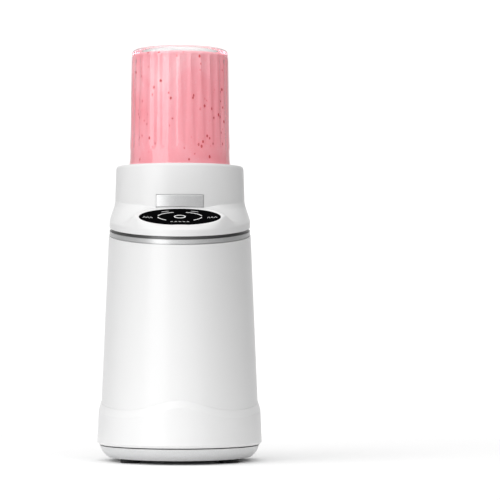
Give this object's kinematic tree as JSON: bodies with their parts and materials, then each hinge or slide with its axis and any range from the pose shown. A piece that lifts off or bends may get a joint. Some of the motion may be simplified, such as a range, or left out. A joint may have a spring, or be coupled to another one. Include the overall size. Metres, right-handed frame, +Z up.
{
  "type": "countertop blender",
  "caption": "Countertop blender with a round locking collar, sloped touch panel, upright motor inside and an upside-down clear fluted cup that lifts out",
  "frame": {"origin": "on the table, under the middle of the base's outline", "axes": "+Z up, -Y towards the user and the control panel, +X to the user's right"},
  "size_m": [0.1502, 0.182, 0.376],
  "materials": {
    "white_shell": "smooth semi-gloss moulded white plastic",
    "grey_trim": "satin light grey plastic",
    "black_glass": "polished black panel with pale printed marks",
    "clear_cup": "clear moulded copolyester, smooth",
    "dark_rubber": "matt rubber",
    "light_rubber": "translucent silicone",
    "dark_plastic": "matt glass-filled nylon",
    "socket_plastic": "satin white plastic",
    "steel": "ground stainless steel",
    "zinc": "zinc-plated steel",
    "laminations": "varnished electrical steel",
    "copper": "enamelled copper wire",
    "brass": "plain brass",
    "bronze": "oil-filled sintered bronze",
    "cast_alloy": "die-cast alloy",
    "carbon": "pressed carbon",
    "circuit_board": "green solder mask",
    "component_blue": "moulded component case",
    "component_yellow": "film capacitor case",
    "component_dark": "moulded component case"
  },
  "bodies": {
    "base": {"main_housing": "white_shell", "base_skirt": "white_shell", "bottom_cover": "grey_trim", "rubber_feet": "dark_rubber", "base_screws": "zinc", "housing_screws": "zinc", "accent_ring": "grey_trim", "top_housing": "white_shell", "touch_panel": "black_glass", "touch_board": "circuit_board", "cup_socket": "socket_plastic", "release_spring": "steel", "interlock_spring": "steel", "interlock_switch": "component_dark", "switch_bracket": "dark_plastic", "stator_core": "laminations", "field_windings": "copper", "upper_bracket": "cast_alloy", "lower_bracket": "cast_alloy", "upper_bush": "bronze", "lower_bush": "bronze", "motor_screws": "zinc", "lower_mounts": "dark_rubber", "upper_mount": "dark_rubber", "shaft_seal": "dark_rubber", "brush_holders": "brass", "carbon_brushes": "carbon", "brush_springs": "steel", "control_board": "circuit_board", "power_relay": "component_blue", "filter_capacitor": "component_yellow", "board_transformer": "component_dark", "heat_sink": "cast_alloy", "power_switch": "component_dark", "board_screws": "zinc", "cord_gland": "dark_rubber"},
    "rotor": {"motor_shaft": "steel", "rotor_core": "laminations", "rotor_windings": "copper", "commutator": "copper", "cooling_fan": "dark_plastic", "drive_coupling": "dark_plastic"},
    "button": {"release_button": "grey_trim"},
    "plunger": {"interlock_plunger": "dark_plastic"},
    "blade_bearing": {"bearing_sleeve": "steel"},
    "cup_unit": {"cup": "clear_cup", "blade_holder": "dark_plastic", "cup_gasket": "light_rubber"},
    "blades": {"blade_spindle": "steel", "lower_blade": "steel", "upper_blade": "steel", "blade_spacer": "steel", "blade_nut": "steel", "driven_coupling": "dark_plastic"}
  },
  "joints": [
    {"name": "motor_spin", "type": "hinge", "parent": "base", "child": "rotor", "pos_m": [0, 0.0159, 0.12], "axis": [0, 0, 1], "continuous": true},
    {"name": "button_press", "type": "slide", "parent": "base", "child": "button", "axis": [0, 1, 0], "range_m": [0, 0.0015], "stiffness_N_per_m": 1500, "springref_m": -0.001, "deforming": ["release_spring"]},
    {"name": "plunger_press", "type": "slide", "parent": "base", "child": "plunger", "axis": [0, 0, -1], "range_m": [0, 0.003], "deforming": ["interlock_spring"]},
    {"name": "cup_lift", "type": "slide", "parent": "base", "child": "blade_bearing", "axis": [0, 0, 1], "range_m": [0, 0.11]},
    {"name": "cup_twist", "type": "hinge", "parent": "blade_bearing", "child": "cup_unit", "pos_m": [0, 0.0159, 0.23], "axis": [0, 0, -1], "range_deg": [0, 20]},
    {"name": "blade_spin", "type": "hinge", "parent": "blade_bearing", "child": "blades", "pos_m": [0, 0.0159, 0.23], "axis": [0, 0, 1], "continuous": true}
  ],
  "couplings": [
    {"joint": "blade_spin", "follows": "motor_spin", "ratio": 1},
    {"joint": "plunger_press", "follows": "cup_twist", "m_per_rad": 0.0085944}
  ]
}
